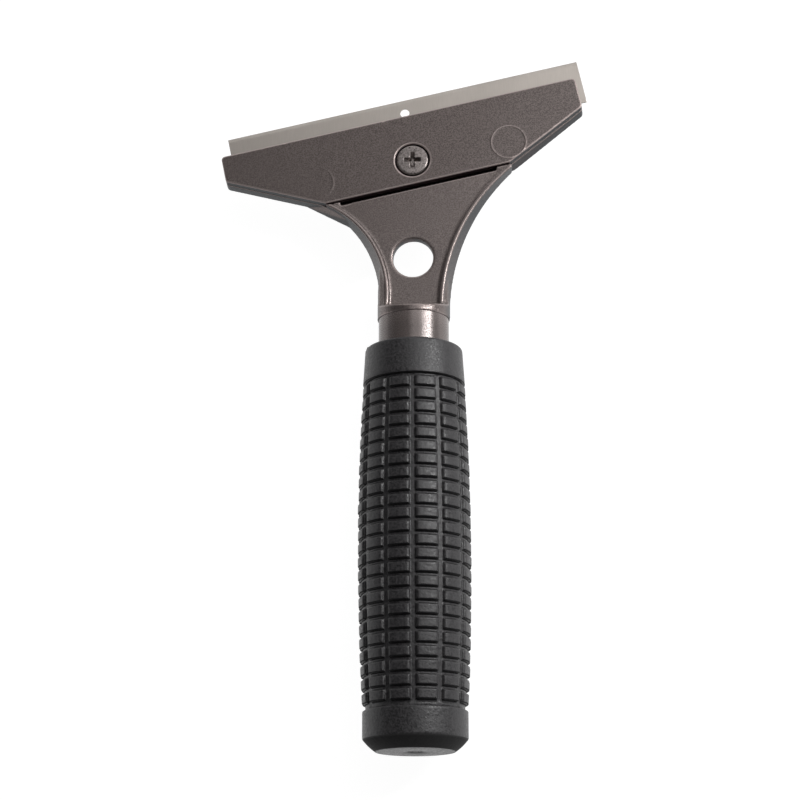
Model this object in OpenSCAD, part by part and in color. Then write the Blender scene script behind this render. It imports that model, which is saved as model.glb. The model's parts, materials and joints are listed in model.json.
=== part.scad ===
// Floor scraper with a clamped 100 mm blade set at an angle on a straight, rubber-gripped handle.
// The tool lies on its back: +Y runs along the handle towards the blade, +Z points out of the
// face of the clamp plate, and the origin is the centre of the hang hole on the handle's axis.

/* [Head] */
// Turn of the blade line about the clamp screw, in degrees
head_turn = 11.7; // [0:0.1:18]
// Distance from the hang hole to the clamp screw
screw_y = 28.5; // [27:0.5:31]
// Height of the plate's face and of the neck's rims above the handle's axis
face_z = 3.1; // [2.8:0.1:3.4]
// Depth of the head's back below the handle's axis
back_z = 3.1; // [2.8:0.1:3.4]

/* [Clamp plate] */
// Thickness of the plate at its edge
plate_t = 2.3; // [2:0.1:2.4]
// Reach of the plate to the left of the screw
plate_left = 51.8; // [50:0.1:53]
// Reach of the plate to the right of the screw
plate_right = 49.1; // [48:0.1:51]
// Edge of the plate above the screw
plate_top = 13.5; // [13:0.1:14]
// Edge of the plate below the screw
plate_foot = 7; // [6.8:0.1:7.2]
// Half of the straight bottom edge
foot_half = 25.9; // [25:0.1:27]
// Slope of the two slanted edges, in degrees
slant = 26.4; // [25:0.1:28]

/* [Blade] */
// Length of the cutting edge
blade_l = 100; // [98:0.5:102]
// Width of the blade from edge to edge
blade_w = 12.7; // [12:0.1:12.8]
// Thickness of the blade
blade_t = 0.5; // [0.4:0.05:0.6]
// Width of the ground bevel
blade_bevel = 1; // [0.6:0.1:1.5]
// Shift of the blade to the right of the screw
blade_shift = 0.9; // [0:0.1:1.2]

/* [Screw] */
// Radius of the screw's thread
thread_r = 2.5; // [2.4:0.05:2.6]
// Radius of the screw's cheese head
screw_head_r = 4.4; // [4.2:0.1:4.6]
// Radius of the pocket that the screw's head sits in
pocket_r = 4.75; // [4.7:0.05:5.1]

/* [Neck] */
// Radius of the hang hole
hang_r = 5.5; // [5:0.1:5.8]
// Radius of the round shoulder at the foot of the neck
shoulder_r = 9.8; // [9.7:0.05:10]
// End of the round shoulder, below the hang hole
shoulder_y = -17.5; // [-18:0.1:-17]
// Depth of the neck's front web below its rims at the shoulder
web_dip = 1; // [0.6:0.1:1.3]
// Width of the neck's rims at their foot
rim_w = 1.45; // [1:0.05:1.6]

/* [Handle] */
// Outer radius of the handle tube
tube_r = 9.5; // [9.4:0.05:9.6]
// Wall of the handle tube
tube_wall = 1.2; // [1:0.1:1.5]
// End of the handle tube inside the grip
tube_end = -128; // [-129:0.5:-120]
// Top face of the grip's collar
collar_top = -26; // [-27:0.1:-25]
// Top edge of the grip's textured barrel
barrel_top = -35.9; // [-36:0.1:-35.5]
// Flat end face of the grip
grip_end = -133.1; // [-134:0.1:-132.5]
// Greatest radius of the barrel
belly_r = 14.9; // [14.6:0.1:15.2]
// How much the barrel narrows from its middle to its ends
belly_drop = 1.25; // [0.8:0.05:1.5]
// Rows of raised pads along the barrel
rows = 24; // [12:1:24]
// Columns of raised pads around the barrel
columns = 12; // [8:1:12]
// Turn of the grip on the tube towards the right, in degrees
grip_turn = 2; // [-15:0.5:15]

/* [Hidden] */

$fn = 64;
paint = [0.30, 0.27, 0.26];
steel = [0.72, 0.70, 0.67];
black_steel = [0.24, 0.22, 0.21];
rubber = [0.10, 0.10, 0.11];

// Levels of the clamp, from the back to the front
blade_top_z = face_z - plate_t;
seat_z = blade_top_z - blade_t;
web_slope = 1.1;
web_back_z = -0.5;
back_rim_w = 1.2;
hole_edge = 0.2;
hole_face_z = face_z - web_dip - shoulder_y * tan(web_slope);

// Places of the blade and of the shoulder behind it
blade_low_v = 6.5;
shoulder_gap = 0.1;
base_front_v = 13.2;
base_bevel = 1.6;
base_grow = 0.1;
base_round = 1.2;
rim_gap = 0.35;

// Outline of the base at its back, and the fillet beside it at the foot of the left flank
base_back = [[-52.1, 13.5], [-52.1, 5.9], [-25.5, -7.3], [27.1, -7.3], [49.4, 4.35], [49.4, 13.5]];
fillet_back = [[-31.8, -4.1], [-29.3, -5.6], [-26.8, -7.4], [-23.6, -10.2], [-21.3, -13], [-18, -8]];
fillet_front = [[-27, -6.3], [-25.6, -7.8], [-23.8, -9.6], [-21, -12.6], [-18, -8]];

// The groove under the heel of the plate
heel_half = 22;
heel_v = -8.35;
heel_w = 3.6;
heel_floor_z = -0.6;

// The screw's pocket boss, the nut and its boss
boss_r = 6.2;
boss_gap = 0.2;
boss_low_z = -1;
pocket_edge = 0.25;
head_seat_z = 0.2;
head_h = 3.1;
clear_r = 2.75;
nut_flats = 8;
nut_h = 4;
nut_top_z = -2.1;
nut_gap = 0.05;
nut_boss_r = 7;
nut_boss_z = -6.3;
shank_end_z = -6.6;
recess_w = 4.84;
recess_wing = 1.15;
recess_deep = 1.9;

// The flanks of the neck run from one arc at the front face to another at the back
left_arc = [-36.1, -10, 28.5];
right_arc = [61.1, -15.4, 53];
left_back_arc = [-41.5, -10, 31.75];
right_back_arc = [67.2, -15, 57.4];
rim_draft = 0.6;

// The head's spigot inside the handle tube, and the pin that locks them
tube_in_r = tube_r - tube_wall;
spigot_end = -50;
pin_y = -43;
pin_r = 1.5;
pin_bore_r = 0.8;
pin_half = tube_r - 0.2;

// The grip's pads, in rows between the collar and the end cap
cap_top = -122.9;
cap_r = 13.6;
cap_chamfer = 3.2;
barrel_mid = (barrel_top + cap_top) / 2;
barrel_half = (barrel_top - cap_top) / 2;
pad_deep = 0.9;
pad_slope = 0.3;
pad_angle = 21;
first_pad = barrel_top - 1.25;
last_pad = cap_top + 1.8;
pad_gap = 1.4;
pitch = (first_pad - last_pad + pad_gap) / rows;

// Radius of the barrel's pads at the height y
function barrel_r(y) = belly_r - belly_drop * pow((y - barrel_mid) / barrel_half, 2);

function unit(v) = v / norm(v);

// Points of the arc of radius r that rounds the corner at p between its neighbours a and b
function corner(a, p, b, r, n = 6) =
    let (
        u = unit(a - p),
        w = unit(b - p),
        half = acos(u * w) / 2,
        middle = p + unit(u + w) * r / sin(half),
        first = p + u * r / tan(half) - middle,
        last = p + w * r / tan(half) - middle
    )
    [for (i = [0 : n]) middle + r * unit(first * (n - i) + last * i)];

// The outline through the points pts with every corner rounded to the radius r
function rounded(pts, r) =
    let (n = len(pts))
    [for (i = [0 : n - 1]) each corner(pts[(i + n - 1) % n], pts[i], pts[(i + 1) % n], r)];

// Outline of the clamp plate about the screw, grown outwards by g
function plate_outline(g = 0) =
    let (
        rise = tan(slant),
        drop = g / cos(slant),
        left = -plate_left - g,
        right = plate_right + g,
        foot = -plate_foot - g,
        foot_x = foot_half + (g - drop) / -rise
    )
    [
        [left, plate_top],
        [left, -plate_foot - drop + (plate_left + g - foot_half) * rise],
        [-foot_x, foot],
        [foot_x, foot],
        [right, -plate_foot - drop + (plate_right + g - foot_half) * rise],
        [right, plate_top]
    ];

// Places its children in the frame of the blade: origin on the screw's axis, X along the edge
module on_head() {
    translate([0, screw_y, 0]) rotate([0, 0, head_turn]) children();
}

// A round bar along Y from y0 up to y1
module bar_y(r, y0, y1) {
    translate([0, y1, 0]) rotate([90, 0, 0]) cylinder(h = y1 - y0, r = r);
}

// The sheet that the neck's flanks are cut from
module neck_sheet() {
    polygon([[-12, -16], [12, -16], [40, 0], [27.4, 25.8], [27.2, 26.7], [26, 30], [-22, 20], [-29, 19]]);
}

// The space between the neck's rims from z0 up to z1, its walls drafted about the web
module between_rims(z0, z1, rim, draft) {
    middle_z = face_z - web_dip;
    difference() {
        translate([0, 0, z0]) linear_extrude(z1 - z0) neck_sheet();
        for (arc = [left_arc, right_arc])
            translate([arc[0], arc[1], z0]) cylinder(
                h = z1 - z0,
                r1 = arc[2] + rim - (z0 - middle_z) * draft,
                r2 = arc[2] + rim - (z1 - middle_z) * draft,
                $fn = 128
            );
    }
}

// Everything on the handle's side of the line v in the frame of the blade
module below_line(v, z0, z1) {
    on_head() translate([-80, v - 120, z0]) cube([160, 120, z1 - z0]);
}

// The space beside one flank of the neck, between its front arc and its back arc
module flank(front, back) {
    skin = 0.01;
    hull() {
        translate([front[0], front[1], face_z]) cylinder(h = skin, r = front[2], $fn = 128);
        translate([back[0], back[1], -back_z - skin]) cylinder(h = skin, r = back[2], $fn = 128);
    }
}

// The round of the shoulder carried up into the neck, and flattened towards its rims
module stem() {
    half = [[7.6, face_z], [9.2, 1.6], [shoulder_r, 0], [9.2, -1.6], [7.6, -back_z]];
    intersection() {
        union() {
            bar_y(shoulder_r, shoulder_y, -9);
            translate([0, -2, 0]) rotate([90, 0, 0])
                cylinder(h = 7, r1 = shoulder_r - 0.5, r2 = shoulder_r);
        }
        rotate([90, 0, 0]) linear_extrude(20)
            polygon([each half, for (i = [4 : -1 : 0]) [-half[i][0], half[i][1]]]);
    }
}

// Neck with slanted flanks, cut off where it meets the plate
module neck_slab() {
    stem();
    intersection() {
        difference() {
            translate([0, 0, -back_z]) linear_extrude(face_z + back_z) neck_sheet();
            flank(left_arc, left_back_arc);
            flank(right_arc, right_back_arc);
        }
        union() {
            below_line(-plate_foot - rim_gap, -back_z, face_z);
            below_line(-plate_foot + 1, -back_z, blade_top_z);
        }
    }
}

// Round shoulder at the foot of the neck, its end face drafted to front and back
module shoulder() {
    intersection() {
        bar_y(shoulder_r, shoulder_y, -12);
        rotate([90, 0, 90]) translate([0, 0, -12]) linear_extrude(24)
            polygon([[shoulder_y, -12], [-15.1, -12], [-15.8, -9.8], [-13.7, -2.1], [-12, 0],
                [-13.7, 2.1], [-15.8, 9.8], [-15.1, 12], [shoulder_y, 12]]);
    }
}

// A body that changes from the outline low at its back to the outline high under the plate
module drafted(low, high) {
    skin = 0.01;
    hull() {
        translate([0, 0, -back_z]) linear_extrude(skin) polygon(low);
        translate([0, 0, blade_top_z - skin]) linear_extrude(skin) polygon(high);
    }
}

// Base of the head under the plate: seat, shoulder behind the blade, bevelled back edge
module base() {
    on_head() difference() {
        union() {
            drafted(rounded(base_back, base_round), rounded(plate_outline(base_grow), base_round));
            drafted(fillet_back, fillet_front);
            translate([0, 0, nut_boss_z]) cylinder(h = 4, r = nut_boss_r);
        }
        translate([-60, blade_low_v - shoulder_gap, seat_z]) cube([120, 20, 2]);
        translate([-60, base_front_v, -10]) cube([120, 10, 20]);
        translate([-60, 0, 0]) rotate([90, 0, 90]) linear_extrude(120) polygon([
            [base_front_v - base_bevel, -back_z - 0.1],
            [base_front_v + 0.1, -back_z + base_bevel],
            [base_front_v + 0.1, -back_z - 0.1]
        ]);
        translate([0, 0, -10]) cylinder(h = 20, r = clear_r);
        translate([0, 0, nut_boss_z - 1]) rotate([0, 0, 30])
            cylinder(h = nut_top_z - nut_boss_z + 1, r = nut_flats / 2 / cos(30), $fn = 6);
    }
}

module head_casting() {
    color(paint) difference() {
        union() {
            difference() {
                union() {
                    neck_slab();
                    base();
                }
                // recessed web on the front, shallower towards the plate
                intersection() {
                    between_rims(0, face_z + 2, rim_w, rim_draft);
                    translate([-40, shoulder_y, face_z - web_dip]) rotate([web_slope, 0, 0])
                        cube([80, 60, 5]);
                    below_line(-plate_foot + 1, 0, face_z + 2);
                }
                // deeper recess on the back
                intersection() {
                    between_rims(-back_z - 1, web_back_z, back_rim_w, 0);
                    below_line(-plate_foot - 3, -back_z - 2, web_back_z);
                }
                // groove under the heel of the plate, and the pocket for the plate's boss
                on_head() translate([-heel_half, heel_v, heel_floor_z])
                    cube([2 * heel_half, heel_w, 5]);
                on_head() translate([0, 0, boss_low_z - 0.1])
                    cylinder(h = 5, r = boss_r + boss_gap);
            }
            shoulder();
            bar_y(tube_in_r, spigot_end + 1, shoulder_y + 1);
            translate([0, spigot_end + 1, 0]) rotate([90, 0, 0])
                cylinder(h = 1, r1 = tube_in_r, r2 = tube_in_r - 1);
        }
        // hang hole, its edges broken front and back
        translate([0, 0, -10]) cylinder(h = 20, r = hang_r);
        translate([0, 0, hole_face_z - hole_edge]) cylinder(h = 1, r1 = hang_r, r2 = hang_r + 1);
        translate([0, 0, web_back_z + hole_edge - 1]) cylinder(h = 1, r1 = hang_r + 1, r2 = hang_r);
        translate([-20, pin_y, 0]) rotate([0, 90, 0]) cylinder(h = 40, r = pin_r);
    }
}

module handle_tube() {
    color(paint) difference() {
        bar_y(tube_r, tube_end, shoulder_y);
        bar_y(tube_in_r, tube_end - 1, shoulder_y + 1);
        translate([-20, pin_y, 0]) rotate([0, 90, 0]) cylinder(h = 40, r = pin_r);
    }
}

// Rolled spring pin, split along its back
module cross_pin() {
    color(steel) translate([-pin_half, pin_y, 0]) rotate([0, 90, 0]) difference() {
        cylinder(h = 2 * pin_half, r = pin_r);
        translate([0, 0, -1]) cylinder(h = 2 * pin_half + 2, r = pin_bore_r);
        translate([0, -0.25, -1]) cube([3, 0.5, 2 * pin_half + 2]);
    }
}

module clamp_nut() {
    color(steel) on_head() translate([0, 0, nut_top_z - nut_h]) difference() {
        rotate([0, 0, 30]) cylinder(h = nut_h, r = nut_flats / 2 / cos(30), $fn = 6);
        translate([0, 0, -1]) cylinder(h = nut_h + 2, r = thread_r + nut_gap);
        translate([0, 0, -0.01]) cylinder(h = 0.5, r1 = thread_r + 0.5, r2 = thread_r);
    }
}

// One sector of the barrel, cut into raised pads by ring grooves
module pad_column() {
    rotate_extrude(angle = pad_angle, $fn = 96) polygon([
        [tube_r + 1, -barrel_top],
        for (i = [0 : rows - 1])
            let (top = first_pad - i * pitch, low = top - pitch + pad_gap)
            each [
                [barrel_r(top) - pad_deep, -top - pad_slope],
                [barrel_r(top), -top],
                [barrel_r(low), -low],
                [barrel_r(low) - pad_deep, -low + pad_slope]
            ],
        [tube_r + 1, -cap_top]
    ]);
}

// Rubber grip in one piece: collar, padded barrel and closed end
module grip() {
    core = [
        for (i = [0 : rows])
            let (y = barrel_top + (cap_top - barrel_top) * i / rows) [barrel_r(y) - pad_deep, -y]
    ];
    color(rubber) rotate([90, 0, 0]) difference() {
        union() {
            rotate_extrude($fn = 96) polygon([
                [0, -collar_top],
                [12.5, -collar_top],
                [12.95, -collar_top + 0.2],
                [13.1, -collar_top + 0.7],
                [13.65, -barrel_top],
                each core,
                [cap_r - 0.3, -cap_top],
                [cap_r, -cap_top + 0.3],
                [cap_r - 0.1, -grip_end - cap_chamfer],
                [cap_r - cap_chamfer - 0.05, -grip_end],
                [0, -grip_end]
            ]);
            for (k = [0 : columns - 1])
                rotate([0, 0, 90 + (k + 0.5) * 360 / columns - grip_turn - pad_angle / 2])
                    pad_column();
        }
        translate([0, 0, -collar_top - 1]) cylinder(h = -tube_end + collar_top + 1, r = tube_r);
    }
}

module clamp_plate() {
    color(paint) on_head() difference() {
        union() {
            translate([0, 0, blade_top_z]) linear_extrude(plate_t)
                polygon(rounded(plate_outline(), 1));
            translate([0, 0, boss_low_z]) cylinder(h = blade_top_z - boss_low_z + 0.5, r = boss_r);
        }
        translate([0, 0, head_seat_z]) cylinder(h = 5, r = pocket_r);
        translate([0, 0, -5]) cylinder(h = 10, r = clear_r);
        translate([0, 0, face_z - pocket_edge])
            cylinder(h = 0.6, r1 = pocket_r, r2 = pocket_r + 0.6);
    }
}

// Cheese-head screw with a cross recess; its shank is plain at the thread's outer radius
module clamp_screw() {
    dome = 0.9;
    color(black_steel) translate([0, screw_y, 0]) difference() {
        rotate_extrude() polygon([
            [0, shank_end_z],
            [thread_r - 0.6, shank_end_z],
            [thread_r, shank_end_z + 0.6],
            [thread_r, head_seat_z],
            [screw_head_r, head_seat_z],
            for (a = [0 : 15 : 90])
                [screw_head_r - dome + dome * cos(a), head_seat_z + head_h - dome + dome * sin(a)],
            [0, head_seat_z + head_h]
        ]);
        translate([0, 0, head_seat_z + head_h - recess_deep]) {
            translate([-recess_w / 2, -recess_wing / 2, 0]) cube([recess_w, recess_wing, 5]);
            translate([-recess_wing / 2, -recess_w / 2, 0]) cube([recess_wing, recess_w, 5]);
        }
    }
}

// Double-edged strip blade with one hole near each edge
module scraper_blade() {
    hole_r = 1.3;
    hole_inset = 3.9;
    edge_t = 0.1;
    color(steel) on_head() translate([blade_shift, blade_low_v, seat_z]) difference() {
        translate([-blade_l / 2, 0, 0]) rotate([90, 0, 90]) linear_extrude(blade_l) polygon([
            [0, (blade_t - edge_t) / 2],
            [blade_bevel, 0],
            [blade_w - blade_bevel, 0],
            [blade_w, (blade_t - edge_t) / 2],
            [blade_w, (blade_t + edge_t) / 2],
            [blade_w - blade_bevel, blade_t],
            [blade_bevel, blade_t],
            [0, (blade_t + edge_t) / 2]
        ]);
        for (v = [hole_inset, blade_w - hole_inset])
            translate([0, v, -1]) cylinder(h = 3, r = hole_r);
    }
}

head_casting();
handle_tube();
cross_pin();
clamp_nut();
grip();
clamp_plate();
clamp_screw();
scraper_blade();
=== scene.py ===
"""Looks of the floor scraper: cast head, clamp plate, blade, screw and rubber grip in a white studio."""

import json
import math

import bmesh
import bpy
import numpy as np
from mathutils import Euler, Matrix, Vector


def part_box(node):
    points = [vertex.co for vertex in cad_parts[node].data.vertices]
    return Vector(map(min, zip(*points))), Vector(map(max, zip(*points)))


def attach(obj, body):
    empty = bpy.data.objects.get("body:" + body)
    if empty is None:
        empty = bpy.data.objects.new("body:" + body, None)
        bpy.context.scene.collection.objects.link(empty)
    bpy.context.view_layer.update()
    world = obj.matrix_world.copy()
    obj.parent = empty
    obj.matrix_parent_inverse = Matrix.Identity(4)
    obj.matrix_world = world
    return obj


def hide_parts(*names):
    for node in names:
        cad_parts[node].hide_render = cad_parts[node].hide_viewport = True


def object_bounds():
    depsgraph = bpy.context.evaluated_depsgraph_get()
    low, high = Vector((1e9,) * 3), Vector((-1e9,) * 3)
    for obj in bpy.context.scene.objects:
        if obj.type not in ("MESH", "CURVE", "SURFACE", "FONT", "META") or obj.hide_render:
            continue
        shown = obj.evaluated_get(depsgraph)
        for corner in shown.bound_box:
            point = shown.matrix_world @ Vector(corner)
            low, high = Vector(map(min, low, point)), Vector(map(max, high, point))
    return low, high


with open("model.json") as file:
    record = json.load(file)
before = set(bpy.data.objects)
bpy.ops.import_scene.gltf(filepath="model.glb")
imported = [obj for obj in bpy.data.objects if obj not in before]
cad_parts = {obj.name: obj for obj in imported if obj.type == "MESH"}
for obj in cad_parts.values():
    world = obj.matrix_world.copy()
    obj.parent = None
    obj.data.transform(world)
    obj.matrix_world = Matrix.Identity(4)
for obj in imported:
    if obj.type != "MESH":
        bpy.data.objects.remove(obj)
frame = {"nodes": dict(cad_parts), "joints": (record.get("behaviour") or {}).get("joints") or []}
CAD_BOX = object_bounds()
MM = 0.001

# ---------------------------------------------------------------- the frame of the blade

JOINTS = {joint["name"]: joint for joint in frame["joints"]}
SCREW_AXIS = Vector(JOINTS["screw_turn"]["pos_m"])
SLIDE = JOINTS["blade_slide"]["axis"]
HEAD_TURN = math.atan2(-SLIDE[0], SLIDE[1])


def to_head(points):
    """Points of the row frame in the frame of the blade: origin on the screw, X along the edge."""
    c, s = math.cos(HEAD_TURN), math.sin(HEAD_TURN)
    x, y = points[:, 0] - SCREW_AXIS[0], points[:, 1] - SCREW_AXIS[1]
    return np.stack([c * x + s * y, c * y - s * x, points[:, 2]], axis=1)


def from_head(points):
    """The inverse of to_head."""
    c, s = math.cos(HEAD_TURN), math.sin(HEAD_TURN)
    x, y = points[:, 0], points[:, 1]
    return np.stack([c * x - s * y + SCREW_AXIS[0], s * x + c * y + SCREW_AXIS[1], points[:, 2]], axis=1)


# ---------------------------------------------------------------- mesh tools

def mesh_from(name, points, faces):
    """A new mesh from corner points and faces."""
    mesh = bpy.data.meshes.new(name)
    mesh.from_pydata([tuple(p) for p in points], [], faces)
    mesh.update()
    return mesh


def outward(mesh):
    """Turns every face of a closed mesh outwards and shades it smooth."""
    work = bmesh.new()
    work.from_mesh(mesh)
    bmesh.ops.recalc_face_normals(work, faces=work.faces)
    work.to_mesh(mesh)
    work.free()
    mesh.polygons.foreach_set("use_smooth", np.ones(len(mesh.polygons), bool))
    mesh.update()
    return mesh


def rings_mesh(name, rings, loop=False):
    """A skin through rings of equally many points. Its ends are closed, or joined with loop."""
    count, around = len(rings), len(rings[0])
    points = np.concatenate(rings)
    step = np.arange(around)
    faces = []
    for i in range(count if loop else count - 1):
        a, b = i * around, (i + 1) % count * around
        quads = np.stack([a + step, a + (step + 1) % around, b + (step + 1) % around, b + step], axis=1)
        faces += quads.tolist()
    if not loop:
        faces.append(list(range(around)))
        faces.append([(count - 1) * around + i for i in reversed(range(around))])
    return mesh_from(name, points, faces)


def lathe_z(profile, angles):
    """Rings about the Z axis through a profile of (radius, height)."""
    return [np.stack([r * np.cos(angles), r * np.sin(angles), np.full_like(angles, z)], axis=1)
            for r, z in profile]


def rings_y(profile, angles):
    """Rings about the Y axis through a profile of (radius, height)."""
    return [np.stack([r * np.sin(angles), np.full_like(angles, y), r * np.cos(angles)], axis=1)
            for r, y in profile]


def full_turn(count):
    """Angles of a full turn in count even steps."""
    return np.linspace(0, 2 * math.pi, count, endpoint=False)


def in_scene(name, data):
    """A new object with this data, in the scene."""
    shown = bpy.data.objects.new(name, data)
    bpy.context.scene.collection.objects.link(shown)
    return shown


def evaluated(mesh, kind, **settings):
    """A copy of the mesh with one modifier applied."""
    carrier = in_scene("carrier", mesh)
    modifier = carrier.modifiers.new("change", kind)
    for key, value in settings.items():
        setattr(modifier, key, value)
    bpy.context.view_layer.update()
    shown = carrier.evaluated_get(bpy.context.evaluated_depsgraph_get())
    result = bpy.data.meshes.new_from_object(shown)
    bpy.data.objects.remove(carrier)
    return result


def cut(mesh, name, cutter_mesh, place=(0, 0, 0)):
    """The mesh with the closed cutter taken away."""
    cutter = in_scene(name, cutter_mesh)
    cutter.location = place
    result = evaluated(mesh, "BOOLEAN", object=cutter, solver="EXACT")
    bpy.data.objects.remove(cutter)
    return result


def flat_shaded(mesh):
    """The same mesh with sharp faces."""
    mesh.polygons.foreach_set("use_smooth", np.zeros(len(mesh.polygons), bool))
    return mesh


def get_points(mesh):
    """Corner points of a mesh as rows of x, y, z."""
    flat = np.zeros(len(mesh.vertices) * 3, np.float32)
    mesh.vertices.foreach_get("co", flat)
    return flat.reshape(-1, 3).astype(float)


def set_points(mesh, points):
    """The inverse of get_points."""
    mesh.vertices.foreach_set("co", points.astype(np.float32).ravel())
    mesh.update()


def head_box(node):
    """Lowest and highest corner of a CAD node in the frame of the blade."""
    points = to_head(get_points(frame["nodes"][node].data))
    return points.min(axis=0), points.max(axis=0)


def relax(mesh, passes):
    """Rounds a dense mesh by moving each point halfway to the mean of its neighbours."""
    points = get_points(mesh)
    count = len(points)
    ends = np.zeros(len(mesh.edges) * 2, np.int32)
    mesh.edges.foreach_get("vertices", ends)
    a, b = ends[0::2], ends[1::2]
    near = np.bincount(a, minlength=count) + np.bincount(b, minlength=count)
    near = np.maximum(near, 1)[:, None]
    for _ in range(passes):
        total = np.stack([np.bincount(a, points[b, k], count) + np.bincount(b, points[a, k], count)
                          for k in range(3)], axis=1)
        points = points + 0.5 * (total / near - points)
    set_points(mesh, points)


def cast_from(mesh, voxel, passes):
    """The mesh as one even skin with its edges rounded off, as a casting has them."""
    skin = evaluated(mesh, "REMESH", mode="VOXEL", voxel_size=voxel)
    relax(skin, passes)
    return outward(skin)


def displaced(mesh, offset):
    """Moves each point by offset(points), an array of vectors in the row frame."""
    points = get_points(mesh)
    set_points(mesh, points + offset(points))
    return mesh


def moved_to(mesh, x, y):
    """Shifts a mesh made about the Z axis to its place."""
    return displaced(mesh, lambda points: np.array([[x, y, 0.0]]))


def piece(name, mesh, body, node, finish):
    """Shows the mesh in place of a CAD node, riding on its body."""
    shown = in_scene(name, mesh)
    mesh.materials.clear()
    mesh.materials.append(finish)
    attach(shown, body)
    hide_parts(node)


def ease(x):
    """Smooth step from 0 to 1."""
    x = np.clip(x, 0, 1)
    return x * x * (3 - 2 * x)


def bulge(x):
    """Quarter circle from 0 up to 1: steep at the start, level at the end."""
    x = np.clip(x, 0, 1)
    return np.sqrt(1 - (1 - x) ** 2)


# ---------------------------------------------------------------- materials

class Finish:
    """A procedural material: short calls that add nodes to one Principled shader.

    Lengths in the nodes are in metres, so a noise of scale 2000 has spots of half a millimetre.
    """

    def __init__(self, name):
        self.material = bpy.data.materials.new(name)
        self.material.use_nodes = True
        self.nodes = self.material.node_tree.nodes
        self.links = self.material.node_tree.links
        self.shader = self.nodes["Principled BSDF"]
        coords = self.nodes.new("ShaderNodeTexCoord")
        self.place, self.normal = coords.outputs["Object"], coords.outputs["Normal"]

    def set(self, **values):
        """Sets sockets that are the same all over the surface."""
        for name, value in values.items():
            self.shader.inputs[name.replace("_", " ")].default_value = value

    def link(self, source, socket):
        """Feeds a socket that varies over the surface."""
        self.links.new(source, self.shader.inputs[socket])

    def noise(self, scale, detail=2.0, rough=0.5, stretch=(1, 1, 1), turn=0.0):
        """Cloudy noise from 0 to 1, which can be turned about Z and stretched along its axes."""
        mapping = self.nodes.new("ShaderNodeMapping")
        mapping.inputs["Rotation"].default_value = (0, 0, turn)
        mapping.inputs["Scale"].default_value = [scale * s for s in stretch]
        self.links.new(self.place, mapping.inputs["Vector"])
        node = self.nodes.new("ShaderNodeTexNoise")
        node.inputs["Scale"].default_value = 1.0
        node.inputs["Detail"].default_value = detail
        node.inputs["Roughness"].default_value = rough
        self.links.new(mapping.outputs["Vector"], node.inputs["Vector"])
        return node.outputs["Fac"]

    def spread(self, value, low, high, to_low=0.0, to_high=1.0):
        """The value, with low..high spread over to_low..to_high and held beyond."""
        node = self.nodes.new("ShaderNodeMapRange")
        node.inputs["From Min"].default_value = low
        node.inputs["From Max"].default_value = high
        node.inputs["To Min"].default_value = to_low
        node.inputs["To Max"].default_value = to_high
        self.links.new(value, node.inputs["Value"])
        return node.outputs["Result"]

    def mix(self, share, a, b):
        """Colour a where share is 0, b where it is 1; a and b are colours or sockets."""
        # the sockets of a mix node that works on colours
        factor, first, second, result = 0, 6, 7, 2
        node = self.nodes.new("ShaderNodeMix")
        node.data_type = "RGBA"
        self.links.new(share, node.inputs[factor])
        for value, index in ((a, first), (b, second)):
            if isinstance(value, bpy.types.NodeSocket):
                self.links.new(value, node.inputs[index])
            else:
                node.inputs[index].default_value = (*value, 1)
        return node.outputs[result]

    def reach(self):
        """Distance from the object's origin."""
        node = self.nodes.new("ShaderNodeVectorMath")
        node.operation = "LENGTH"
        self.links.new(self.place, node.inputs[0])
        return node.outputs["Value"]

    def bump(self, height, depth, under=None):
        """Normals of a relief of this depth, on top of those of another bump."""
        node = self.nodes.new("ShaderNodeBump")
        node.inputs["Strength"].default_value = 1.0
        node.inputs["Distance"].default_value = depth
        self.links.new(height, node.inputs["Height"])
        if under is not None:
            self.links.new(under, node.inputs["Normal"])
        return node.outputs["Normal"]

    def facing(self, way):
        """How far the surface faces along a direction of the object, from -1 to 1."""
        node = self.nodes.new("ShaderNodeVectorMath")
        node.operation = "DOT_PRODUCT"
        node.inputs[1].default_value = way
        self.links.new(self.normal, node.inputs[0])
        return node.outputs["Value"]

    def edges(self, low, high):
        """0 on faces, rising to 1 on outer edges. Low and high are pointiness, 0.5 on a flat face."""
        geometry = self.nodes.new("ShaderNodeNewGeometry")
        return self.spread(geometry.outputs["Pointiness"], low, high)


def shades(tone, *factors):
    """The tone, darker or lighter by each factor."""
    return [tuple(c * f for c in tone) for f in factors]


def grey(value):
    """A neutral colour."""
    return (value, value, value)


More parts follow.
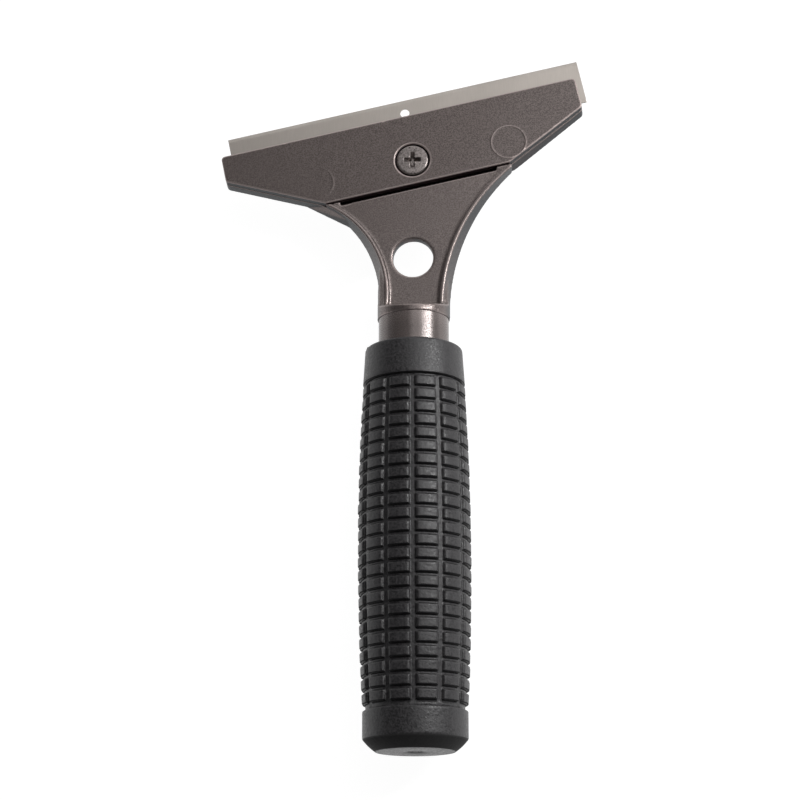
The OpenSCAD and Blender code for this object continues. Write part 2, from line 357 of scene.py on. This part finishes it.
def metallic_paint(name, tone, roughness, grain, wear_and_highlight, metal=0.7, sides=True):
    """Stoved metallic enamel: fine flake grain, faint clouding, outer edges lighter from worn paint and
    painted highlight.

    With sides, the faces that don't look up get painted shade, a darker and bluer coat with less flake,
    and those in the gap between plate and neck, which face the handle, a reddish painted shade.
    """
    finish = Finish(name)
    deep, plain, light, lighter_edge_tone = shades(tone, 0.74, 1.0, 1.36, wear_and_highlight)
    uneven = 0.06
    flakes = finish.noise(3000, detail=1.5)
    clouds = finish.noise(55, detail=3)
    colour = finish.mix(finish.spread(flakes, 0.36, 0.64), deep, light)
    colour = finish.mix(finish.spread(clouds, 0.3, 0.7, to_high=0.35), colour, plain)
    # outer edges lighter: partly worn paint, partly painted highlight along the rounded edges
    colour = finish.mix(finish.edges(0.506, 0.53), colour, lighter_edge_tone)
    if sides:
        # painted shade: faces that don't look up take the dark bluish side tone, those facing the handle the
        # reddish heel tone, with less metal and coat
        steep, level = 0.1, 0.5
        up = finish.facing((0, 0, 1))
        heel_way = (math.sin(HEAD_TURN), -math.cos(HEAD_TURN), 0)
        heel_shade_share = finish.spread(finish.facing(heel_way), 0.93, 0.98)
        painted_side_shade = finish.mix(heel_shade_share, SIDE_SHADE_TONE, HEEL_SHADE_TONE)
        colour = finish.mix(finish.spread(up, steep, level), painted_side_shade, colour)
        finish.link(finish.spread(up, steep, level, to_low=0.10, to_high=metal), "Metallic")
        finish.link(finish.spread(up, steep, level, to_high=0.25), "Coat Weight")
        finish.set(Specular_IOR_Level=0.12)
    else:
        finish.set(Metallic=metal, Coat_Weight=0.1)
    finish.link(colour, "Base Color")
    finish.link(finish.spread(flakes, 0.3, 0.7, roughness + uneven, roughness - uneven), "Roughness")
    fine = finish.bump(finish.noise(2600, detail=3, rough=0.6), grain)
    finish.link(finish.bump(finish.noise(420, detail=2), grain * 1.2, under=fine), "Normal")
    finish.set(Coat_Roughness=0.13)
    return finish.material


def ground_steel(name, tone):
    """Strip steel, ground across its width, with a faint grey bloom."""
    finish = Finish(name)
    dull, bright, bloomed = shades(tone, 0.96, 1.03, 0.86)
    lines = finish.noise(1, detail=3, stretch=(5200, 260, 260), turn=-HEAD_TURN)
    bloom = finish.noise(70, detail=4)
    colour = finish.mix(finish.spread(lines, 0.3, 0.7), dull, bright)
    colour = finish.mix(finish.spread(bloom, 0.42, 0.75, to_high=0.5), colour, bloomed)
    finish.link(colour, "Base Color")
    finish.link(finish.spread(bloom, 0.3, 0.7, to_low=0.42, to_high=0.52), "Roughness")
    finish.link(finish.bump(lines, 0.0007 * MM), "Normal")
    finish.set(Metallic=1.0)
    return finish.material


def zinc_steel(name, tone):
    """Zinc-plated steel with a faint mottle."""
    finish = Finish(name)
    dull, bright = shades(tone, 0.78, 1.1)
    spangle = finish.noise(900, detail=3)
    finish.link(finish.mix(finish.spread(spangle, 0.35, 0.65), dull, bright), "Base Color")
    finish.link(finish.spread(spangle, 0.3, 0.7, to_low=0.28, to_high=0.42), "Roughness")
    finish.link(finish.bump(finish.noise(2400, detail=2), 0.01 * MM), "Normal")
    finish.set(Metallic=1.0)
    return finish.material


def coated_screw(name, tone):
    """Dark coated screw, scuffed lighter on the rim and in the recess."""
    finish = Finish(name)
    speckle = finish.noise(2600, detail=3)
    dark, light, lighter_edge_tone = shades(tone, 0.62, 1.35, 2.6)
    colour = finish.mix(finish.spread(speckle, 0.35, 0.65), dark, light)
    colour = finish.mix(finish.edges(0.53, 0.60), colour, lighter_edge_tone)
    finish.link(colour, "Base Color")
    finish.link(finish.spread(speckle, 0.3, 0.7, to_low=0.26, to_high=0.40), "Roughness")
    finish.link(finish.bump(finish.noise(1500, detail=3), 0.012 * MM), "Normal")
    finish.set(Metallic=0.75)
    return finish.material


def moulded_rubber(name, tone):
    """Black moulded rubber with a spark-eroded grain; the chamfer of its end is dull, and darker with painted
    shade.
    """
    finish = Finish(name)
    grain = finish.noise(2100, detail=3, rough=0.6)
    bloom = finish.noise(90, detail=3)
    dark, light, dusty, shaded = shades(tone, 0.4, 1.7, 1.6, 0.2)
    colour = finish.mix(finish.spread(grain, 0.35, 0.65), dark, light)
    colour = finish.mix(finish.spread(bloom, 0.4, 0.8, to_high=0.4), colour, dusty)
    no, yes, dull = grey(0), grey(1), grey(0.95)
    # painted shade: the faces of the end's chamfer, which look away from the head, take the shaded tone
    ahead = finish.facing((0, 1, 0))
    chamfer = finish.mix(finish.spread(ahead, -0.97, -0.85), no, yes)
    chamfer = finish.mix(finish.spread(ahead, -0.6, -0.35), chamfer, no)
    finish.link(finish.mix(chamfer, colour, shaded), "Base Color")
    gloss = finish.spread(grain, 0.35, 0.65, to_low=0.33, to_high=0.60)
    finish.link(finish.mix(chamfer, gloss, dull), "Roughness")
    finish.set(Specular_IOR_Level=0.55)
    coarse = finish.bump(finish.noise(1100, detail=2), 0.09 * MM)
    finish.link(finish.bump(grain, 0.03 * MM, under=coarse), "Normal")
    return finish.material


PAINT_TONE = (0.165, 0.138, 0.131)
PLATE_TONE, TUBE_TONE = shades(PAINT_TONE, 0.86, 0.85)
# painted shade for faces that don't look up, and for those facing the handle in the gap between plate and
# neck
SIDE_SHADE_TONE = (0.020, 0.022, 0.026)
HEEL_SHADE_TONE = (0.075, 0.045, 0.048)
CAST_GRAIN, DRAWN_GRAIN = 0.022 * MM, 0.006 * MM
CAST_PAINT = metallic_paint("cast_paint", PAINT_TONE, 0.36, CAST_GRAIN, wear_and_highlight=1.9)
PLATE_PAINT = metallic_paint("plate_paint", PLATE_TONE, 0.44, CAST_GRAIN, wear_and_highlight=3.4)
TUBE_PAINT = metallic_paint("tube_paint", TUBE_TONE, 0.27, DRAWN_GRAIN, wear_and_highlight=1.5, metal=0.35, sides=False)
BLADE_STEEL = ground_steel("blade_steel", (0.50, 0.457, 0.42))
ZINC = zinc_steel("zinc_plate", (0.62, 0.61, 0.58))
SCREW_COAT = coated_screw("screw_coat", (0.27, 0.238, 0.228))
RUBBER = moulded_rubber("grip_rubber", (0.027, 0.0255, 0.027))

# ---------------------------------------------------------------- the grip

# the pads' columns are turned a little about the handle
COLUMNS, ROWS = 12, 24
GRIP_TURN = math.radians(2.0)


def grip_angles():
    """Angles about the handle, from +Z towards +X, closer together on the flanks of the grooves."""
    half = [0, 1.5, 2.75, 3.1, 3.6, 4.3, 5.2, 6.2, 8.6, 11.6]
    groove = [-a for a in reversed(half[1:])] + half + [15]
    step = 360 / COLUMNS
    return np.radians(sorted(k * step + a for k in range(COLUMNS) for a in groove)) + GRIP_TURN


def grip_bore(bore, closed_end, mouth):
    """The bore for the tube as (radius, height) pairs, from its closed end up to the mouth."""
    profile = [(0.05 * MM, closed_end), (bore - 0.2 * MM, closed_end), (bore, closed_end + 0.2 * MM)]
    profile += [(bore, y) for y in np.linspace(closed_end + 2 * MM, mouth - 1 * MM, 12)]
    profile += [(bore + 0.02 * MM, mouth - 0.25 * MM), (bore + 0.3 * MM, mouth), (bore + 1.5 * MM, mouth)]
    return profile


def grip_collar(mouth, foot_y, angles):
    """Collar: flat top, rounded shoulder with a burr at one place, slightly flared to the barrel."""
    shoulder, foot, turn = 13.1 * MM, 13.65 * MM, 0.75 * MM
    burr_h, burr_start, burr_wide = 0.28 * MM, -72, 2
    from_burr = (np.degrees(angles) - burr_start) % 360
    profile = []
    for a in np.radians([0, 18, 36, 54, 72, 90]):
        y = mouth - turn * (1 - math.cos(a))
        radius = shoulder - turn * (1 - math.sin(a))
        burr = burr_h * math.sin(2 * a) * np.exp(-from_burr ** 2 / (2 * burr_wide ** 2))
        profile.append((radius + burr, y + burr))
    flare_top, flare_end = mouth - turn, foot_y + 0.22 * MM
    for t in np.linspace(0.1, 1, 10):
        profile.append((shoulder + (foot - shoulder) * t, flare_top + (flare_end - flare_top) * t))
    profile += [(foot - 0.04 * MM, foot_y + 0.08 * MM), (foot - 0.14 * MM, foot_y + 0.01 * MM),
                (foot - 0.5 * MM, foot_y - 0.03 * MM)]
    return profile


def grip_barrel(top, end, belly, angles):
    """Barrel with rows and columns of pads, sampled densely at the two edges of each row."""
    belly_drop, middle, half = 1.25 * MM, (top + end) / 2, (top - end) / 2
    deep, pad_h, slope, round_off = 0.9 * MM, 2.15 * MM, 0.3 * MM, 0.12 * MM
    groove_half, flank = 2.75, 3.45
    first, last_end = top - 1.25 * MM, end + 1.8 * MM
    pitch = (first - last_end - pad_h) / (ROWS - 1)
    luck, uneven = np.random.default_rng(11), 0.045
    pad_rise = 1 + uneven * luck.standard_normal((ROWS, COLUMNS))

    def barrel(y):
        return belly - belly_drop * ((y - middle) / half) ** 2

    # share of the pads' height around the barrel: 0 on a groove's floor, 1 on a pad
    step = 2 * math.pi / COLUMNS
    from_groove = np.degrees(np.abs((angles - GRIP_TURN + step / 2) % step - step / 2))
    around = bulge((from_groove - groove_half) / flank)
    column = np.floor((angles - GRIP_TURN) / step).astype(int) % COLUMNS

    profile = [(barrel(top) - deep + 0.05 * MM, top - 0.1 * MM)]
    offsets = np.array([0.36, 0.30, 0.24, 0.17, 0.10, 0.04, -0.04, -0.14, -0.35, -0.75, -1.2, -1.6, -1.9,
                        -2.05, -2.14, -2.20, -2.27, -2.35, -2.43, -2.5]) * MM
    for row in range(ROWS):
        for offset in offsets:
            y = first - row * pitch + offset
            rising = bulge((slope - offset + 0.02 * MM) / (slope + round_off))
            falling = bulge((offset + pad_h + slope) / (slope + round_off))
            rise = pad_rise[row][column] * around * min(rising, falling)
            profile.append((barrel(y) - deep + deep * rise, y))
    profile.append((barrel(end) - deep + 0.05 * MM, end + 0.06 * MM))
    return profile


def grip_cap(top, end):
    """End cap: broken top edge, plain band, rounded chamfer, flat end with the stub of the gate."""
    cap_r, end_r, chamfer_h, bow = 13.6 * MM, 10.35 * MM, 3.1 * MM, 0.12 * MM
    profile = [(cap_r - 0.5 * MM, top + 0.03 * MM), (cap_r - 0.18 * MM, top - 0.04 * MM),
               (cap_r - 0.05 * MM, top - 0.14 * MM), (cap_r, top - 0.32 * MM)]
    chamfer = end + chamfer_h
    profile += [(cap_r, y) for y in np.linspace(top - 1 * MM, chamfer + 0.6 * MM, 8)]
    band_end, corner = chamfer + 0.5 * MM, chamfer - 0.05 * MM
    profile += [(cap_r - bow * t * t, band_end + (corner - band_end) * t) for t in (0.2, 0.45, 0.7, 1.0)]
    for t in (0.2, 0.4, 0.6, 0.8, 0.92):
        out = bow * math.sin(math.pi * t)
        profile.append((cap_r - bow - (cap_r - end_r) * t + out, corner + (end - corner) * t - out))
    profile += [(end_r - 0.05 * MM, end + 0.05 * MM), (end_r - 0.4 * MM, end), (6 * MM, end), (2.2 * MM, end),
                (1.9 * MM, end + 0.25 * MM), (1.0 * MM, end + 0.25 * MM), (0.8 * MM, end + 0.08 * MM),
                (0.05 * MM, end + 0.05 * MM)]
    return profile


def grip_mesh():
    """One moulding: collar, barrel and end cap round a bore for the tube."""
    low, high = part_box("grip")
    tube_low, tube_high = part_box("handle_tube")
    mouth, end, belly = high.y, low.y, high.x
    collar_h, cap_h = 9.9 * MM, 10.2 * MM
    barrel_top, cap_top = mouth - collar_h, end + cap_h
    angles = grip_angles()
    profile = grip_bore(tube_high.x, tube_low.y, mouth)
    profile += grip_collar(mouth, barrel_top, angles)
    profile += grip_barrel(barrel_top, cap_top, belly, angles)
    profile += grip_cap(cap_top, end)
    return outward(rings_mesh("rubber_grip", rings_y(profile, angles)))


# ---------------------------------------------------------------- the metal parts

def head_mesh():
    """The head as a casting, with all its edges rounded off."""
    return cast_from(frame["nodes"]["head_casting"].data.copy(), voxel=0.25 * MM, passes=4)


def plate_mesh():
    """The clamp plate: an ejector mark towards each end of its face, a fine bead round the pocket."""
    top = head_box("clamp_plate")[1][2]
    mark_r, mark_wide = 4.8 * MM, 0.2 * MM
    bead_r, bead_wide = 5.1 * MM, 0.16 * MM
    right, left = (27 * MM, -1 * MM), (-27.35 * MM, -0.55 * MM)

    def marks(points):
        local = to_head(points)
        on_face = local[:, 2] > top - 0.3 * MM

        def bead(place, radius, wide):
            away = np.hypot(local[:, 0] - place[0], local[:, 1] - place[1])
            return np.exp(-((away - radius) / wide) ** 2)

        fading = ease((local[:, 0] - left[0]) / mark_r)
        height = 0.09 * MM * bead(right, mark_r, mark_wide)
        height += 0.05 * MM * bead(left, mark_r, mark_wide) * fading
        height += 0.06 * MM * bead((0, 0), bead_r, bead_wide)
        offset = np.zeros_like(points)
        offset[:, 2] = on_face * height
        return offset

    skin = cast_from(frame["nodes"]["clamp_plate"].data.copy(), voxel=0.2 * MM, passes=4)
    return displaced(skin, marks)


def tube_mesh():
    """Drawn tube with a plain bore; its upper end is pressed a little way into the shoulder."""
    low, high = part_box("handle_tube")
    wall, lip, pressed_in, support = 1.2 * MM, 0.15 * MM, 0.4 * MM, 0.05 * MM
    outer, inner, top = high.x, high.x - wall, high.y + pressed_in
    profile = [(outer, top)] + [(outer, y) for y in np.linspace(top - support, low.y + lip, 24)]
    profile += [(outer - lip, low.y), (inner + lip, low.y), (inner, low.y + lip)]
    profile += [(inner, y) for y in np.linspace(low.y + 2 * MM, top, 12)]
    return outward(rings_mesh("tube", rings_y(profile, full_turn(160)), loop=True))


def screw_head(head_r, seat, top):
    """Flat-topped head with a tapered cross recess."""
    turn, crown_drop = 0.55 * MM, 0.08 * MM
    dome = [(head_r - turn * (1 - math.cos(a)), top - crown_drop - turn * (1 - math.sin(a)))
            for a in np.radians(np.linspace(0, 90, 8))]
    crown = [(dome[-1][0] * (1 - t), top - crown_drop * (1 - t) ** 2) for t in (0.3, 0.6, 0.97)]
    profile = [(0.05 * MM, seat), (head_r - 0.25 * MM, seat), (head_r, seat + 0.2 * MM)] + dome + crown
    head = rings_mesh("screw_head", lathe_z(profile, full_turn(96)))

    def cross(arm, wing, height):
        corners = [(wing, arm), (-wing, arm), (-wing, wing), (-arm, wing), (-arm, -wing), (-wing, -wing),
                   (-wing, -arm), (wing, -arm), (wing, -wing), (arm, -wing), (arm, wing), (wing, wing)]
        return np.array([(x, y, height) for x, y in corners])

    recess = outward(rings_mesh("recess", [cross(1.0 * MM, 0.34 * MM, top - 1.85 * MM),
                                           cross(1.5 * MM, 0.44 * MM, top - 1.45 * MM),
                                           cross(2.6 * MM, 0.66 * MM, top + 0.35 * MM)]))
    return cut(outward(head), "recess", flat_shaded(recess))


def screw_shank(low_z, high_z):
    """Threaded shank with a rounded lead-in at its end."""
    thread_r, thread_deep, lead = 2.5 * MM, 0.42 * MM, 0.8 * MM
    lead_in, tip_drop = 0.7 * MM, 0.35 * MM
    angles = full_turn(72)
    rings = []
    for z in np.linspace(low_z, high_z, 110):
        phase = (z / lead - angles / (2 * math.pi)) % 1.0
        tooth = np.abs(phase - 0.5) * 2
        fade = ease((z - low_z) / lead_in)
        radius = thread_r - thread_deep * (1 - tooth) - tip_drop * (1 - fade)
        rings += lathe_z([(radius, z)], angles)
    return outward(rings_mesh("shank", rings))


def screw_mesh():
    """Head and shank of the clamp screw as one piece."""
    low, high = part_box("clamp_screw")
    centre = (low + high) / 2
    head_h, overlap = 3.1 * MM, 0.4 * MM
    seat = high.z - head_h
    both = bmesh.new()
    both.from_mesh(screw_head((high.x - low.x) / 2, seat, high.z))
    both.from_mesh(screw_shank(low.z, seat + overlap))
    whole = bpy.data.meshes.new("cross_screw")
    both.to_mesh(whole)
    both.free()
    return moved_to(cast_from(whole, voxel=0.07 * MM, passes=3), centre.x, centre.y)


def nut_mesh():
    """Hex nut with chamfered corners and a plain bore."""
    low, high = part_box("clamp_nut")
    centre = (low + high) / 2
    flats, bore = 4.0 * MM, 2.55 * MM
    widest, mouth = flats + 0.7 * MM, bore + 0.45 * MM
    angles = full_turn(144)
    to_flat = (angles + math.pi / 6) % (math.pi / 3) - math.pi / 6
    hexagon = flats / np.cos(to_flat)

    def hex_rings(profile):
        return [lathe_z([(np.minimum(hexagon, limit), z)], angles)[0] for limit, z in profile]

    chamfer = [(flats - 0.05 * MM, 0.0), (flats + 0.12 * MM, 0.08 * MM), (widest, 0.42 * MM)]
    rings = hex_rings([(limit, low.z + rise) for limit, rise in chamfer])
    rings += hex_rings([(widest, z) for z in np.linspace(low.z + 0.6 * MM, high.z - 0.6 * MM, 6)])
    rings += hex_rings([(limit, high.z - rise) for limit, rise in reversed(chamfer)])
    rings += lathe_z([(mouth, high.z), (bore, high.z - 0.4 * MM), (bore, low.z + 0.4 * MM),
                      (mouth, low.z)], angles)
    return moved_to(outward(rings_mesh("nut", rings, loop=True)), centre.x, centre.y)


def blade_mesh():
    """Double-edged strip: ground bevels with a honed edge on both sides, and a hole near each edge."""
    low, high = head_box("scraper_blade")
    length, width, thick = high - low
    middle = (low + high) / 2
    half_l, half_w, half_t = length / 2, width / 2, thick / 2
    bevel, hone, edge_t = 1.0 * MM, 0.25 * MM, 0.05 * MM
    quarter = [(half_w, edge_t * 0.4), (half_w - hone, edge_t + 0.05 * MM), (half_w - bevel, half_t)]
    outline = quarter + [(-v, z) for v, z in reversed(quarter)]
    outline += [(-v, -z) for v, z in quarter] + [(v, -z) for v, z in reversed(quarter)]
    section = np.array(outline)

    broken = 0.08 * MM
    stations = [(-half_l, broken), (-half_l + 0.1 * MM, 0.0)]
    stations += [(u, 0.0) for u in np.linspace(-half_l + 2 * MM, half_l - 2 * MM, 49)]
    stations += [(half_l - 0.1 * MM, 0.0), (half_l, broken)]
    rings = []
    for u, shrink in stations:
        v = section[:, 0] * (1 - shrink / half_w)
        z = section[:, 1] * (1 - shrink / half_t)
        rings.append(np.stack([np.full(len(section), u), v, z], axis=1))
    strip = outward(rings_mesh("strip", rings))

    hole_r, inset, reach = 1.3 * MM, 3.9 * MM, 1 * MM
    for side in (-1, 1):
        drill = rings_mesh("drill", lathe_z([(hole_r, -reach), (hole_r, reach)], full_turn(64)))
        strip = cut(strip, "drill", outward(drill), place=(0, side * (half_w - inset), 0))
    return displaced(flat_shaded(strip), lambda points: from_head(points + middle) - points)


def pin_mesh():
    """The rolled pin, with its edges rounded off."""
    return cast_from(frame["nodes"]["cross_pin"].data.copy(), voxel=0.08 * MM, passes=2)


piece("rubber_grip", grip_mesh(), "holder", "grip", RUBBER)
piece("cast_head", head_mesh(), "holder", "head_casting", CAST_PAINT)
piece("drawn_tube", tube_mesh(), "holder", "handle_tube", TUBE_PAINT)
piece("hex_nut", nut_mesh(), "holder", "clamp_nut", ZINC)
piece("spring_pin", pin_mesh(), "holder", "cross_pin", ZINC)
piece("cast_plate", plate_mesh(), "clamp_plate", "clamp_plate", PLATE_PAINT)
piece("cross_screw", screw_mesh(), "clamp_screw", "clamp_screw", SCREW_COAT)
piece("strip_blade", blade_mesh(), "scraper_blade", "scraper_blade", BLADE_STEEL)

# ---------------------------------------------------------------- studio

TOOL_MIDDLE = (CAD_BOX[0] + CAD_BOX[1]) / 2
FLOOR_GAP, FLOOR_HALF = 0.1 * MM, 2.5
GLOW_NEAR, GLOW_FAR = 0.97, 0.42
FADE_START, FADE_END = 0.25, 1.0


def white_floor():
    """Wide pale floor, lit from below like a light table and fading outwards."""
    finish = Finish("pale_floor")
    cloud = finish.spread(finish.noise(4, detail=2), 0.3, 0.7)
    glow = finish.spread(finish.reach(), FADE_START, FADE_END, GLOW_NEAR, GLOW_FAR)
    finish.link(finish.mix(cloud, grey(0.12), grey(0.14)), "Base Color")
    finish.link(glow, "Emission Strength")
    finish.set(Roughness=0.8, Emission_Color=(1, 1, 1, 1))
    half, z = FLOOR_HALF, CAD_BOX[0].z - FLOOR_GAP
    corners = [(-half, -half, z), (half, -half, z), (half, half, z), (-half, half, z)]
    floor = in_scene("floor", mesh_from("floor", corners, [(0, 1, 2, 3)]))
    floor.data.materials.append(finish.material)


def soft_box(name, way, distance, size, power):
    """A rectangular lamp at a distance from the tool, in the direction way, shining back at it."""
    way = Vector(way).normalized()
    light = bpy.data.lights.new(name, "AREA")
    light.shape = "RECTANGLE"
    light.size, light.size_y = size
    light.energy = power
    lamp = in_scene(name, light)
    lamp.location = TOOL_MIDDLE + way * distance
    lamp.rotation_euler = way.to_track_quat("Z", "Y").to_euler()


def world_light(horizon, zenith):
    """Faint surroundings: a pale glow along the horizon that fades towards the zenith."""
    fade_height, daylight = 0.45, (0.96, 0.97, 1.0, 1)
    world = bpy.data.worlds.new("studio")
    world.use_nodes = True
    nodes, links = world.node_tree.nodes, world.node_tree.links
    way = nodes.new("ShaderNodeTexCoord")
    split = nodes.new("ShaderNodeSeparateXYZ")
    fade = nodes.new("ShaderNodeMapRange")
    for name, value in (("From Max", fade_height), ("To Min", horizon), ("To Max", zenith)):
        fade.inputs[name].default_value = value
    links.new(way.outputs["Generated"], split.inputs[0])
    links.new(split.outputs["Z"], fade.inputs["Value"])
    links.new(fade.outputs["Result"], nodes["Background"].inputs["Strength"])
    nodes["Background"].inputs["Color"].default_value = daylight
    bpy.context.scene.world = world


def studio_camera(lens, place, turns):
    """A long lens above the tool: focal length, place in mm and turns in degrees."""
    camera = bpy.data.cameras.new("camera")
    camera.lens = lens
    camera.sensor_width = 36
    seen = in_scene("camera", camera)
    seen.location = [v * MM for v in place]
    seen.rotation_euler = Euler([math.radians(a) for a in turns])
    bpy.context.scene.camera = seen


white_floor()
world_light(horizon=0.5, zenith=0.04)
soft_box("key_box", way=(0.70, 0.29, 0.65), distance=0.75, size=(0.07, 0.42), power=3.3)
soft_box("top_box", way=(0.28, 0.35, 0.89), distance=0.8, size=(0.5, 0.6), power=1.2)
soft_box("back_box", way=(0.05, 0.80, 0.60), distance=0.9, size=(0.9, 0.45), power=1.5)
studio_camera(lens=87.82, place=(34.39, -188.27, 499.80), turns=(16.505, 4.396, -0.099))
bpy.context.scene.view_settings.view_transform = "Standard"
